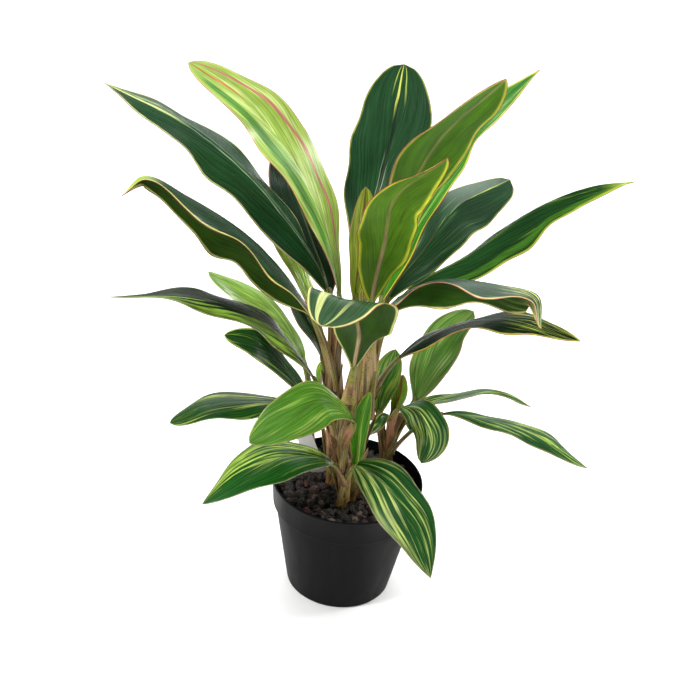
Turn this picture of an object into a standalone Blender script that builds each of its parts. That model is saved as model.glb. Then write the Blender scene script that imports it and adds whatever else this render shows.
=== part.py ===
"""A potted dracaena: several leafy canes standing in lava gravel in a round nursery pot.

Sizes are in millimetres and angles in degrees, and MM turns them into metres. The origin is the
middle of the pot's base, +Z is up and -Y is the front.
"""

from collections import namedtuple
import math

import bmesh
import bpy
from mathutils import Matrix, Vector, noise
import numpy as np

MM = 0.001

# Gap between pieces that touch, and between a stalk's end and its blade's thick butt
GAP = 0.3
BUTT_GAP = 0.8

# Pot: a thin moulded shell with a deeper collar round its rim
POT_HEIGHT = 123.0
RIM_RADIUS = 75.0
RIM_EDGE = 2.0
RIM_STEP = 0.6
COLLAR_HEIGHT = 28.0
COLLAR_EDGE = 1.0
COLLAR_LOW_RADIUS = 72.6
SEAM_DEPTH = 0.4
BODY_TOP_RADIUS = 70.2
BASE_RADIUS = 53.0
BASE_ROUNDING = 2.5
WALL = 1.6
FLOOR = 2.2
POT_SIDES = 48
DRAIN_HOLES = 6
DRAIN_HOLE_RADIUS = 4.0
DRAIN_CIRCLE_RADIUS = 36.0
HOLE_SIDES = 12
CUTTER_EXCESS = 2.0

# Growing medium: gravel of rounded granules up to a little under the rim
SOIL_LEVEL = 113.0
GRANULE_SIZE = 10.0
GRANULE_HEIGHT = 4.0
GRANULE_SPREAD = 0.75
SOIL_RINGS = 13
SOIL_SIDES = 48
SOIL_FLAT_EDGE = 1.0
HOLE_CLEARANCE = 0.8

# Canes and leaf stalks
CANE_SIDES_RESOLUTION = 2
CANE_POINTS = 9
STALK_SIDES_RESOLUTION = 1
STALK_STEP = 14.0
FEWEST_STALK_STEPS = 3
STALK_TIP_RADIUS = 2.3

# Leaf blades: the midrib's weight fades out across MIDRIB_REACH of the half width, and the margins
# ripple once in every WAVE_LENGTH. A stalk starts inside its cane, SHEATH_LENGTH below its foot.
BLADE_THICKNESS = 0.7
MIDRIB_THICKNESS = 2.2
MIDRIB_REACH = 0.4
MIDRIB_FADE = 0.7
BLADE_COLUMNS = 4
BLADE_ROW_LENGTH = 20.0
FEWEST_ROWS = 5
BUTT_HALF_WIDTH = 2.6
BUTT_FADE = 8
TIP_HALF_WIDTH = 0.5
SPINE_STEP = 1.0
WAVE_LENGTH = 90.0
WAVE_FADE = 0.6
FAR_SIDE_PHASE = 2.2
SHEATH_LENGTH = 30.0

# Plant label: a blank plastic stake
LABEL_WIDTH = 15.0
LABEL_LENGTH = 82.0
LABEL_POINT = 18.0
LABEL_POINT_WIDTH = 2.0
LABEL_THICKNESS = 1.0
LABEL_FOOT = (-20.0, 17.0)
LABEL_BOTTOM = 92.0
LABEL_LEAN = -22.0
LABEL_TURN = 12.0

# Edges sharper than this stay hard when a piece is shaded smooth
SHARP_ANGLE = 40.0

# Each cane's centre line from its root end to its top, its radius at both ends, the radius of the
# stalks that sheathe it, and its colour
Cane = namedtuple("Cane", "route bottom_radius top_radius stalk_radius colour")
CANES = {
    "front": Cane(
        [(-3, -36, 88), (-3, -36, 118), (-6, -36, 150), (-9, -37, 200), (-6, -37, 232)],
        4.4, 3.8, 3.6, "b09a6a"),
    "back": Cane(
        [(-15, 4, 88), (-15, 4, 118), (-18, 4, 150), (-20, 3, 190), (-22, 2, 225), (-26, 2, 245)],
        6.6, 5.0, 4.4, "7d6a52"),
    "right": Cane(
        [(5, -20, 88), (5, -20, 118), (6, -20, 150), (9, -16, 190), (10, -10, 240)],
        5.2, 5.6, 4.2, "94805a"),
    "cluster": Cane(
        [(38, 41, 88), (38, 41, 118), (41, 39, 150), (46, 36, 180)],
        4.6, 3.6, 2.8, "9a7f4e"),
    "side": Cane(
        [(-40, 49, 88), (-40, 49, 118), (-42, 50, 137), (-46, 52, 165)],
        3.4, 2.8, 2.6, "8a7a4a"),
}

# Each leaf leaves its cane at a height. route is its midrib from the blade's base to its tip, read off
# the plant by eye. roll turns the blade about its midrib at its base, middle and tip. fold tilts the
# two halves at its base and tip, and curls their margins. wave is how far a margin ripples. The taper
# shapes the outline towards the base and the tip.
BROAD = (0.75, 0.65)
SLENDER = (0.8, 0.95)
Leaf = namedtuple("Leaf", "name cane colour height route width roll fold wave taper")
LEAVES = [
    Leaf("leaf_01", "back", "21412a", 215,
         [(-35, 15, 320), (-90, 50, 385), (-170, 90, 435), (-265, 115, 465)],
         66, (5, 0, 0), (-30, -10, 0), 3, SLENDER),
    Leaf("leaf_02", "back", "a9c45c", 225, [(-25, 10, 320), (-55, 35, 400), (-110, 60, 465), (-180, 75, 505)],
         56, (0, -15, -15), (5, 15, 0), 2.5, (1.0, 0.65)),
    Leaf("leaf_03", "back", "1e3b24", 205, [(-35, 30, 312), (-60, 75, 350), (-80, 120, 378), (-85, 155, 432)],
         58, (0, 0, 0), (15, 5, 0), 3, BROAD),
    Leaf("leaf_04", "back", "8fb04a", 200, [(-45, 40, 275), (-65, 60, 310), (-90, 85, 340), (-110, 110, 375)],
         24, (0, 10, 0), (20, 0, 0), 1, BROAD),
    Leaf("leaf_05", "back", "26452c", 226,
         [(-50, -10, 310), (-100, -25, 380), (-160, -50, 430), (-195, -65, 450), (-210, -75, 435)],
         60, (30, 40, 40), (-40, -40, -15), 4, (0.75, 1.1)),
    Leaf("leaf_06", "right", "1f4a2a", 205, [(-5, 25, 343), (0, 82, 385), (10, 115, 442), (15, 150, 500)],
         72, (0, 0, 0), (15, 0, 0), 3, (0.8, 0.5)),
    Leaf("leaf_07", "right", "9bb83c", 215, [(-10, 0, 325), (-10, 10, 360), (-10, 15, 395), (-10, 20, 425)],
         28, (0, 0, 0), (20, 10, 0), 1, BROAD),
    Leaf("leaf_08", "right", "4f8a28", 232, [(5, -25, 335), (10, -55, 405), (15, -90, 465), (50, -125, 515)],
         50, (-5, -15, -10), (5, -40, 0), 3, BROAD),
    Leaf("leaf_09", "right", "2c6b34", 215, [(15, 10, 320), (40, 42, 395), (80, 90, 455), (140, 125, 515)],
         54, (0, -10, -10), (15, 15, 0), 3, SLENDER),
    Leaf("leaf_10", "right", "27502f", 205, [(20, 20, 315), (50, 60, 350), (80, 100, 380), (130, 135, 400)],
         60, (5, 10, 10), (-15, -20, 0), 3, (0.8, 0.45)),
    Leaf("leaf_11", "right", "1f4429", 200,
         [(30, 10, 320), (95, 40, 362), (155, 65, 405), (200, 75, 425), (240, 85, 430)],
         52, (0, 10, 0), (-30, -40, -10), 3, (0.8, 1.1)),
    Leaf("leaf_12", "right", "3d7a3a", 222,
         [(15, -15, 315), (55, -35, 365), (115, -60, 380), (145, -75, 380), (150, -85, 355)],
         50, (-30, -50, -30), (-40, -40, -5), 5, BROAD),
    Leaf("leaf_13", "right", "1d3f22", 212, [(35, 5, 260), (85, 0, 305), (140, -15, 325), (195, -35, 320)],
         42, (0, -10, 40), (0, 0, -10), 3, SLENDER),
    Leaf("leaf_14", "cluster", "9fca62", 145, [(60, 50, 190), (70, 65, 225), (85, 85, 250), (110, 100, 270)],
         52, (0, 0, 0), (0, 5, -5), 3, BROAD),
    Leaf("leaf_15", "cluster", "5d8a3c", 148, [(55, 40, 185), (95, 50, 195), (135, 60, 200), (180, 75, 180)],
         22, (-5, -15, 0), (10, 10, 0), 1.5, SLENDER),
    Leaf("leaf_16", "cluster", "3b6338", 121,
         [(85, 35, 185), (130, 10, 200), (180, -10, 200), (225, -35, 185)],
         34, (0, 0, -20), (0, -5, -10), 1.5, (1.3, 0.7)),
    Leaf("leaf_17", "cluster", "3f6d3f", 136,
         [(45, 25, 195), (60, 15, 200), (70, 5, 190), (75, 0, 175), (70, -10, 155)],
         42, (10, 45, 45), (-10, -40, 0), 2, BROAD),
    Leaf("leaf_18", "cluster", "6f9c2a", 130, [(40, 50, 175), (45, 50, 195), (45, 55, 215)],
         16, (0, 0, 0), (30, 20, 0), 0.5, BROAD),
    Leaf("leaf_19", "cluster", "6d9a3e", 118, [(25, 45, 175), (25, 50, 200), (30, 55, 220), (35, 60, 240)],
         30, (0, 0, 0), (25, 10, 0), 1.5, BROAD),
    Leaf("leaf_20", "cluster", "2b4a22", 138, [(35, 30, 180), (30, 20, 185), (25, 10, 180), (15, 0, 175)],
         12, (0, 0, 0), (20, 10, 0), 0.5, BROAD),
    Leaf("leaf_21", "front", "1f6a2c", 118,
         [(5, -40, 165), (25, -60, 170), (50, -85, 155), (70, -100, 130), (85, -115, 100)],
         52, (10, 20, 0), (10, 5, 0), 2, SLENDER),
    Leaf("leaf_22", "front", "256a26", 142,
         [(-15, -40, 165), (-60, -65, 185), (-95, -90, 180), (-130, -110, 155)],
         56, (0, -5, 0), (10, -5, -5), 1.5, SLENDER),
    Leaf("leaf_23", "side", "2a7030", 130,
         [(-50, 50, 160), (-70, 50, 170), (-105, 40, 175), (-145, 25, 175), (-180, 10, 160)],
         46, (-5, 0, -10), (0, 0, -10), 2.5, BROAD),
    Leaf("leaf_24", "front", "4fae2c", 188,
         [(0, -50, 220), (-30, -75, 255), (-60, -95, 245), (-90, -115, 230)],
         46, (-20, -28, -20), (5, -5, 0), 3, BROAD),
    Leaf("leaf_25", "right", "2f8f22", 117, [(7, -30, 155), (7, -33, 185), (7, -33, 215), (12, -33, 245)],
         20, (0, 0, 0), (10, 5, 0), 1, BROAD),
    Leaf("leaf_26", "front", "5f8a2c", 219,
         [(-5, -35, 270), (-5, -85, 340), (-20, -125, 385), (-35, -155, 375)],
         68, (15, 0, 0), (30, 0, 0), 4, (0.8, 0.5)),
    Leaf("leaf_27", "back", "2c5a24", 187, [(-35, 15, 245), (-45, 15, 270), (-60, 20, 290), (-75, 20, 315)],
         28, (0, -10, 0), (20, 10, 0), 1, BROAD),
    Leaf("leaf_28", "back", "3a5a38", 174,
         [(-40, -5, 235), (-90, -30, 305), (-155, -60, 340), (-220, -85, 345)],
         42, (-10, -10, 20), (-5, 0, -5), 3, SLENDER),
    Leaf("leaf_29", "side", "a5c46a", 127,
         [(-55, 55, 220), (-80, 75, 250), (-120, 95, 270), (-160, 110, 280)],
         32, (0, -10, -30), (20, -20, -20), 2, BROAD),
    Leaf("leaf_30", "side", "20502a", 134, [(-50, 50, 180), (-75, 55, 210), (-105, 55, 235), (-135, 55, 240)],
         36, (-10, -10, -30), (0, 0, 0), 1.5, BROAD),
    Leaf("leaf_31", "side", "8ab82e", 140, [(-36, 48, 190), (-36, 48, 208), (-36, 52, 223)],
         18, (0, 0, 0), (20, 20, 0), 0.5, BROAD),
    Leaf("leaf_32", "right", "4c9a2e", 225, [(5, -5, 330), (20, -25, 420), (45, -50, 500), (90, -75, 565)],
         62, (-15, -20, -20), (0, -15, 0), 3, (1.1, 0.7)),
]


def eased(knots, values, s):
    """A smooth curve through the values at the knots."""
    knots = np.array(knots, float)
    values = np.array(values, float)
    rates = np.diff(values) / np.diff(knots)
    slopes = np.concatenate([rates[:1], (rates[1:] + rates[:-1]) / 2, rates[-1:]])
    i = np.clip(np.searchsorted(knots, s, side="right") - 1, 0, len(knots) - 2)
    run = knots[i + 1] - knots[i]
    x = (s - knots[i]) / run
    start = values[i] * (1 + 2 * x) * (1 - x) ** 2 + slopes[i] * run * x * (1 - x) ** 2
    end = values[i + 1] * x * x * (3 - 2 * x) - slopes[i + 1] * run * x * x * (1 - x)
    return start + end


def cane_point(cane, height):
    """The point on a cane's centre line at a height."""
    route = np.array(CANES[cane].route, float)
    x = eased(route[:, 2], route[:, 0], height)
    y = eased(route[:, 2], route[:, 1], height)
    return np.array([x, y, height])


def spine_of(leaf):
    """A leaf's distances, points, left-hand sides, upper normals and stalk length, from its foot."""
    sheath = cane_point(leaf.cane, leaf.height - SHEATH_LENGTH)
    foot = cane_point(leaf.cane, leaf.height)
    route = np.array([sheath, foot, *leaf.route], float)
    knots = np.concatenate([[0], np.cumsum(np.linalg.norm(np.diff(route, axis=0), axis=1))])
    places = np.linspace(knots[1], knots[-1], int((knots[-1] - knots[1]) / SPINE_STEP) + 1)
    points = np.stack([eased(knots, axis, places) for axis in route.T], 1)
    lengths = np.linalg.norm(np.diff(points, axis=0), axis=1)
    s = np.concatenate([[0], np.cumsum(lengths)])
    stalk = np.interp(knots[2], places, s)
    along = np.gradient(points, places, axis=0)
    along /= np.linalg.norm(along, axis=1)[:, None]
    reach = route[-1] - foot
    level = np.array([-reach[1], reach[0], 0])
    side = level - along * (along @ level)[:, None]
    side /= np.linalg.norm(side, axis=1)[:, None]
    normal = np.cross(along, side)
    turns = np.radians(eased([0, stalk, (stalk + s[-1]) / 2, s[-1]], [0, *leaf.roll], s))
    cosine = np.cos(turns)[:, None]
    sine = np.sin(turns)[:, None]
    return s, points, side * cosine + normal * sine, normal * cosine - side * sine, stalk


def at_distance(place, s, rows):
    """A vector read at a distance along the spine."""
    return np.array([np.interp(place, s, row) for row in rows.T])


def half_width(leaf, t):
    """Half the blade's width at t, from 0 at its base to 1 at its tip."""
    base, tip = leaf.taper
    widest = base / (base + tip)
    share = (t / widest) ** base * ((1 - t) / (1 - widest)) ** tip
    return leaf.width / 2 * share + BUTT_HALF_WIDTH * (1 - t) ** BUTT_FADE + TIP_HALF_WIDTH


def blade_point(leaf, spine, t, u):
    """The point on a blade at t along it and u across it, from -1 on its right to 1 on its left."""
    s, points, side, normal, stalk = spine
    place = stalk + BUTT_GAP + t * (s[-1] - stalk - BUTT_GAP)
    across = at_distance(place, s, side)
    up = at_distance(place, s, normal)
    base_fold, tip_fold, curl = leaf.fold
    tilt = math.radians(base_fold + (tip_fold - base_fold) * t + curl * abs(u))
    shift = 0 if u >= 0 else FAR_SIDE_PHASE
    wave = leaf.wave * u * u * math.sin(2 * math.pi * (place - stalk) / WAVE_LENGTH + shift)
    wave *= math.sin(math.pi * t) ** WAVE_FADE
    reach = half_width(leaf, t) * abs(u)
    sideways = math.copysign(reach * math.cos(tilt), u)
    return at_distance(place, s, points) + across * sideways + up * (reach * math.sin(tilt) + wave)


def material_of(name, colour, roughness):
    """A plain Principled material in an sRGB colour given as hex digits."""
    material = bpy.data.materials.new(name)
    material.use_nodes = True
    shader = material.node_tree.nodes["Principled BSDF"]
    parts = [int(colour[i:i + 2], 16) / 255 for i in (0, 2, 4)]
    linear = [c / 12.92 if c <= 0.04045 else ((c + 0.055) / 1.055) ** 2.4 for c in parts]
    shader.inputs["Base Color"].default_value = (*linear, 1)
    shader.inputs["Roughness"].default_value = roughness
    return material


def add_object(name, data, collection):
    obj = bpy.data.objects.new(name, data)
    collection.objects.link(obj)
    return obj


def mesh_from(name, bm):
    mesh = bpy.data.meshes.new(name)
    bm.to_mesh(mesh)
    bm.free()
    return mesh


def shade_round(mesh):
    mesh.shade_smooth()
    mesh.set_sharp_from_angle(angle=math.radians(SHARP_ANGLE))


def baked(obj):
    """The object with its modifiers applied."""
    graph = bpy.context.evaluated_depsgraph_get()
    mesh = bpy.data.meshes.new_from_object(obj.evaluated_get(graph))
    obj.modifiers.clear()
    obj.data = mesh
    return obj


def turned(name, profile, sides, collection):
    """A solid turned from a profile of (radius, height) points that runs down its outer side."""
    bm = bmesh.new()
    points = [bm.verts.new((radius * MM, 0, height * MM)) for radius, height in profile]
    for a, b in zip(points, points[1:]):
        bm.edges.new((a, b))
    obj = add_object(name, mesh_from(name, bm), collection)
    screw = obj.modifiers.new("Turn", "SCREW")
    screw.steps = sides
    screw.render_steps = sides
    screw.use_merge_vertices = True
    screw.merge_threshold = 0.00001
    return baked(obj)


def as_cutter(obj):
    obj.hide_render = True
    obj.display_type = "WIRE"
    return obj


def cylinder_cutter(name, radius, bottom, top, x, y, collection):
    bm = bmesh.new()
    place = Matrix.Translation(Vector((x, y, (bottom + top) / 2)) * MM)
    bmesh.ops.create_cone(bm, cap_ends=True, segments=HOLE_SIDES, radius1=radius * MM,
                          radius2=radius * MM, depth=(top - bottom) * MM, matrix=place)
    return as_cutter(add_object(name, mesh_from(name, bm), collection))


def cut(obj, cutter):
    boolean = obj.modifiers.new("Cut " + cutter.name, "BOOLEAN")
    boolean.operation = "DIFFERENCE"
    boolean.object = cutter


def body_radius(height):
    """The pot's outer radius below the collar."""
    return BASE_RADIUS + (BODY_TOP_RADIUS - BASE_RADIUS) * height / (POT_HEIGHT - COLLAR_HEIGHT)


def collar_radius(height):
    """The collar's outer radius."""
    return RIM_RADIUS - (RIM_RADIUS - COLLAR_LOW_RADIUS) * (POT_HEIGHT - height) / COLLAR_HEIGHT


def inner_line(inset):
    """The pot's inner side from its floor to the collar, moved in by an inset."""
    collar = POT_HEIGHT - COLLAR_HEIGHT
    return [
        (0, FLOOR + inset),
        (body_radius(FLOOR) - WALL - inset, FLOOR + inset),
        (BODY_TOP_RADIUS - WALL - inset, collar - SEAM_DEPTH),
        (COLLAR_LOW_RADIUS - WALL - inset, collar + COLLAR_EDGE),
    ]


def make_pot(collection, cutters):
    """The pot: a tapered body, a collar that steps out below the rim, and drain holes in its floor."""
    collar = POT_HEIGHT - COLLAR_HEIGHT
    outer = [
        (RIM_RADIUS - WALL, POT_HEIGHT),
        (RIM_RADIUS - RIM_STEP, POT_HEIGHT),
        (RIM_RADIUS, POT_HEIGHT - RIM_STEP),
        (RIM_RADIUS, POT_HEIGHT - RIM_EDGE),
        (RIM_RADIUS - RIM_STEP, POT_HEIGHT - RIM_EDGE - RIM_STEP),
        (COLLAR_LOW_RADIUS, collar + COLLAR_EDGE),
        (COLLAR_LOW_RADIUS - COLLAR_EDGE, collar),
        (BODY_TOP_RADIUS, collar - SEAM_DEPTH),
        (body_radius(BASE_ROUNDING), BASE_ROUNDING),
        (BASE_RADIUS - BASE_ROUNDING / 3, BASE_ROUNDING / 3),
        (BASE_RADIUS - BASE_ROUNDING, 0),
        (0, 0),
    ]
    pot = turned("pot", outer + inner_line(0) + outer[:1], POT_SIDES, collection)
    pot.data.materials.append(material_of("pot_plastic", "1e1e20", 0.45))
    shade_round(pot.data)
    for i in range(DRAIN_HOLES):
        angle = 2 * math.pi * i / DRAIN_HOLES
        x = DRAIN_CIRCLE_RADIUS * math.cos(angle)
        y = DRAIN_CIRCLE_RADIUS * math.sin(angle)
        top = FLOOR + CUTTER_EXCESS
        cut(pot, cylinder_cutter(f"drain_{i + 1}", DRAIN_HOLE_RADIUS, -CUTTER_EXCESS, top, x, y, cutters))


def granule_height(x, y):
    """How far the gravel stands over the soil's level: a rounded bump over each granule."""
    distance = noise.voronoi(Vector((x, y, 0)) / GRANULE_SIZE)[0][0]
    return GRANULE_HEIGHT * math.sqrt(1 - min(1.0, distance / GRANULE_SPREAD) ** 2)


def make_soil(collection, cutters):
    """The growing medium: a solid filling of the pot whose top is raised into granules."""
    top_radius = collar_radius(SOIL_LEVEL) - WALL - GAP
    top = [(top_radius * i / SOIL_RINGS, SOIL_LEVEL) for i in range(SOIL_RINGS + 1)]
    soil = turned("soil", top + inner_line(GAP)[::-1], SOIL_SIDES, collection)
    soil.data.materials.append(material_of("lava_gravel", "2c211d", 0.9))
    for vertex in soil.data.vertices:
        x, y, z = vertex.co / MM
        inside = math.hypot(x, y) < top_radius - SOIL_FLAT_EDGE
        if inside and z > SOIL_LEVEL - GAP:
            vertex.co.z += granule_height(x, y) * MM
    hole_top = SOIL_LEVEL + GRANULE_HEIGHT + CUTTER_EXCESS
    for name, cane in CANES.items():
        x, y, z = cane.route[0]
        radius = cane.bottom_radius + HOLE_CLEARANCE
        cut(soil, cylinder_cutter("hole_" + name, radius, z - GAP, hole_top, x, y, cutters))
    cut(soil, as_cutter(label_solid("label_slot", HOLE_CLEARANCE, cutters)))


def tube(name, points, radii, resolution, collection):
    """A closed tube through the points, as a mesh whose caps are welded on."""
    curve = bpy.data.curves.new(name, "CURVE")
    curve.dimensions = "3D"
    curve.bevel_depth = MM
    curve.bevel_resolution = resolution
    curve.use_fill_caps = True
    spline = curve.splines.new("POLY")
    spline.points.add(len(points) - 1)
    for place, point, radius in zip(spline.points, points, radii):
        place.co = (*(np.array(point) * MM), 1)
        place.radius = radius
    guide = add_object(name, curve, collection)
    graph = bpy.context.evaluated_depsgraph_get()
    mesh = bpy.data.meshes.new_from_object(guide.evaluated_get(graph))
    bpy.data.objects.remove(guide)
    bm = bmesh.new()
    bm.from_mesh(mesh)
    bmesh.ops.remove_doubles(bm, verts=bm.verts, dist=0.00001)
    bmesh.ops.recalc_face_normals(bm, faces=bm.faces)
    bm.to_mesh(mesh)
    bm.free()
    return add_object(name, mesh, collection)


def cane_tube(name, cane, collection):
    """The bare cane, tapering up to where its topmost leaves leave it."""
    heights = np.linspace(cane.route[0][2], cane.route[-1][2], CANE_POINTS)
    points = [cane_point(name, height) for height in heights]
    radii = np.linspace(cane.bottom_radius, cane.top_radius, CANE_POINTS)
    return tube("cane_" + name, points, radii, CANE_SIDES_RESOLUTION, collection)


def stalk_tube(leaf, collection):
    """A leaf's stalk, from inside its cane to the blade's base."""
    s, points, _, _, stalk = spine_of(leaf)
    count = max(FEWEST_STALK_STEPS, round(stalk / STALK_STEP))
    route = [at_distance(place, s, points) for place in np.linspace(0, stalk, count + 1)]
    radii = np.linspace(CANES[leaf.cane].stalk_radius, STALK_TIP_RADIUS, count + 1)
    return tube("stalk_" + leaf.name, route, radii, STALK_SIDES_RESOLUTION, collection)


def make_cane(name, cane, collection, parts):
    """A cane and its leaves' sheathing stalks, joined into one body."""
    body = cane_tube(name, cane, collection)
    body.data.materials.append(material_of("bark_" + name, cane.colour, 0.6))
    group = bpy.data.collections.new("stalks_" + name)
    parts.children.link(group)
    for leaf in LEAVES:
        if leaf.cane == name:
            stalk_tube(leaf, group)
    union = body.modifiers.new("Join stalks", "BOOLEAN")
    union.operation = "UNION"
    union.operand_type = "COLLECTION"
    union.collection = group
    union.solver = "MANIFOLD"
    baked(body)
    shade_round(body.data)
    for stalk in list(group.objects):
        bpy.data.objects.remove(stalk)
    bpy.data.collections.remove(group)


def make_leaf(leaf, collection):
    """A blade with its thick midrib: a grid laid out by the leaf's shape, then thickened."""
    spine = spine_of(leaf)
    s, _, _, _, stalk = spine
    rows = max(FEWEST_ROWS, round((s[-1] - stalk) / BLADE_ROW_LENGTH))
    bm = bmesh.new()
    bmesh.ops.create_grid(bm, x_segments=rows, y_segments=BLADE_COLUMNS, size=1)
    weights = []
    for vertex in bm.verts:
        t = min(max((vertex.co.x + 1) / 2, 0.0), 1.0)
        u = vertex.co.y
        weights.append(max(0.0, 1 - abs(u) / MIDRIB_REACH) * (1 - MIDRIB_FADE * t))
        vertex.co = Vector(blade_point(leaf, spine, t, u)) * MM
    bmesh.ops.triangulate(bm, faces=bm.faces)
    blade = add_object(leaf.name, mesh_from(leaf.name, bm), collection)
    blade.data.materials.append(material_of("green_" + leaf.name, leaf.colour, 0.3))
    shade_round(blade.data)
    midrib = blade.vertex_groups.new(name="midrib")
    for index, weight in enumerate(weights):
        midrib.add([index], weight, "REPLACE")
    thicken = blade.modifiers.new("Thickness", "SOLIDIFY")
    thicken.thickness = MIDRIB_THICKNESS * MM
    thicken.offset = 0
    thicken.vertex_group = "midrib"
    thicken.thickness_vertex_group = BLADE_THICKNESS / MIDRIB_THICKNESS


def label_solid(name, margin, collection):
    """The stake, square at the top and pointed at the bottom, or its slot when a margin is given."""
    half = LABEL_WIDTH / 2 + margin
    point = LABEL_POINT_WIDTH / 2 + margin
    right = [(half, LABEL_LENGTH), (half, LABEL_POINT - margin), (point, -margin)]
    outline = right + [(-x, z) for x, z in right[::-1]]
    depth = LABEL_THICKNESS + 2 * margin
    bm = bmesh.new()
    bm.faces.new([bm.verts.new((x * MM, -depth / 2 * MM, z * MM)) for x, z in outline])
    sides = bmesh.ops.extrude_face_region(bm, geom=bm.faces[:])
    moved = [item for item in sides["geom"] if isinstance(item, bmesh.types.BMVert)]
    bmesh.ops.translate(bm, verts=moved, vec=(0, depth * MM, 0))
    bmesh.ops.recalc_face_normals(bm, faces=bm.faces)
    obj = add_object(name, mesh_from(name, bm), collection)
    obj.location = Vector((*LABEL_FOOT, LABEL_BOTTOM)) * MM
    obj.rotation_euler = (0, math.radians(LABEL_LEAN), math.radians(LABEL_TURN))
    return obj


def main():
    for obj in list(bpy.data.objects):
        bpy.data.objects.remove(obj)
    plant = bpy.data.collections.new("potted_dracaena")
    cutters = bpy.data.collections.new("cutters")
    for collection in (plant, cutters):
        bpy.context.scene.collection.children.link(collection)
    make_pot(plant, cutters)
    make_soil(plant, cutters)
    for name, cane in CANES.items():
        make_cane(name, cane, plant, cutters)
    for leaf in LEAVES:
        make_leaf(leaf, plant)
    label = label_solid("plant_label", 0, plant)
    label.data.materials.append(material_of("label_plastic", "b9bab8", 0.5))


main()
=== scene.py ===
"""A potted dracaena: waxy striped leaves on tan canes, in lava gravel in a black nursery pot.

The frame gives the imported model. Sizes here are in millimetres, and MM turns them into metres.
Angles are in degrees, but the phases of waves, a furrow's width and CLASP_TURN are in radians. A
leaf's upper face looks along its normal, and its left is where u is above 0.
"""

from collections import namedtuple
import math
import random

import bpy
from mathutils import Euler, Matrix, Vector, noise
import numpy as np


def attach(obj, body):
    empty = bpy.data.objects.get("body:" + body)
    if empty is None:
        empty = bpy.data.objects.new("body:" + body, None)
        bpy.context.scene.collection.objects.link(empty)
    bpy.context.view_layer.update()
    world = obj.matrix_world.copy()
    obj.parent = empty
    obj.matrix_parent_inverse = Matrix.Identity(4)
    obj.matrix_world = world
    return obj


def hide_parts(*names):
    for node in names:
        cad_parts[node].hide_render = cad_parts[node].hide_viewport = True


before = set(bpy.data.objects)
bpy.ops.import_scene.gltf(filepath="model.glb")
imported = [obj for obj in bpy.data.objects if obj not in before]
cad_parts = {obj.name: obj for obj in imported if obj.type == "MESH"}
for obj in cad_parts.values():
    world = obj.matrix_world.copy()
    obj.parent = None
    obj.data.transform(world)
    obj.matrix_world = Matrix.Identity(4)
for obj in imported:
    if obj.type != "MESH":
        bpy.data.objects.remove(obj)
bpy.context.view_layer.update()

MM = 0.001

# Camera at the photograph's angle: what it looks at, its distance from there, and how far it looks
# down and leans
CAMERA_TARGET = (-10.0, 0.0, 268.0)
CAMERA_DISTANCE = 1222.0
CAMERA_PITCH = 29.5
CAMERA_ROLL = 5.6
CAMERA_LENS = 66.9
SENSOR_WIDTH = 36.0

# Pot, as in the frame. Its rim is a half round over the wall, SEAM_LIP stands out under the collar,
# and the step in its inner wall runs from INNER_STEP_LOW below the collar to INNER_STEP_HIGH above.
POT_HEIGHT = 123.0
RIM_RADIUS = 75.0
RIM_EDGE = 2.0
RIM_STEP = 0.6
COLLAR_HEIGHT = 28.0
COLLAR_LOW_RADIUS = 72.6
BODY_TOP_RADIUS = 70.2
BASE_RADIUS = 53.0
BASE_ROUNDING = 2.5
WALL = 1.6
FLOOR = 2.2
COLLAR_ROUNDING = 0.9
BEAD_ROUNDING = 0.5
SEAM_LIP = 0.1
SEAM_RISE = 0.7
SEAM_GAP = 0.5
INNER_STEP_LOW = 0.4
INNER_STEP_HIGH = 1.0
POT_SEGMENTS = 160
DRAIN_HOLES = 6
DRAIN_HOLE_RADIUS = 4.0
DRAIN_CIRCLE_RADIUS = 36.0
DRAIN_CUT_DEPTH = 12.0
DRAIN_HOLE_SIDES = 32

# Gravel: loose granules on a filling. A granule's corners are pushed by up to GRANULE_PUSH of its
# size, its axes are squashed, and its middle lies GRANULE_LIFT of its size above the filling.
SOIL_LEVEL = 113.0
SOIL_GAP = 0.4
GRANULE_SEED = 11
GRANULE_SIZES = (4.5, 9.5)
GRANULE_CORNER = 0.27
GRANULE_COUNT = 620
GRANULE_SQUASH = (0.75, 1.15)
GRANULE_PUSH = 0.09
GRANULE_LIFT = (0.12, 0.45)
GRANULE_CLEARANCE = 0.3
FILLING_DROP = 2.5
FILLING_CLEARANCE = 0.3
FILLING_SEGMENTS = 96
FILLING_RINGS = 24
FILLING_BUMPS = 1.6
FILLING_BUMP_SPACING = 4
FILLING_EDGE = 1.0

# Leaves, as in the frame, with finer rows and columns. A blade reaches TUCK into its stalk. CHANNEL
# is the furrow over its midrib, PLEAT the ridges along its veins, RIPPLE the margin's small waves,
# and UNEVENNESS the share of its width by which a blade swells and narrows.
BLADE_THICKNESS = 0.55
MIDRIB_THICKNESS = 1.8
MIDRIB_REACH = 0.16
MIDRIB_FADE = 0.7
BLADE_ROW = 3.0
FEWEST_ROWS = 16
BLADE_COLUMNS = 32
BUTT_HALF_WIDTH = 2.6
BUTT_FADE = 8
TIP_HALF_WIDTH = 0.25
SPINE_STEP = 1.0
MERGE = 0.02
WAVE_LENGTH = 90.0
WAVE_FADE = 0.6
FAR_SIDE_PHASE = 2.2
SHEATH_LENGTH = 30.0
TUCK = 3.0
CHANNEL_DEPTH = 0.9
CHANNEL_WIDTH = 1.7
PLEAT_DEPTH = 0.22
PLEAT_SPACING = 3.6
PLEAT_START = 4.0
RIPPLE = 0.45
RIPPLE_SPACING = 7.3
UNEVENNESS = 0.04
UNEVEN_SPACING = 8.5
VEIN_SLANT = 0.14

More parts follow.
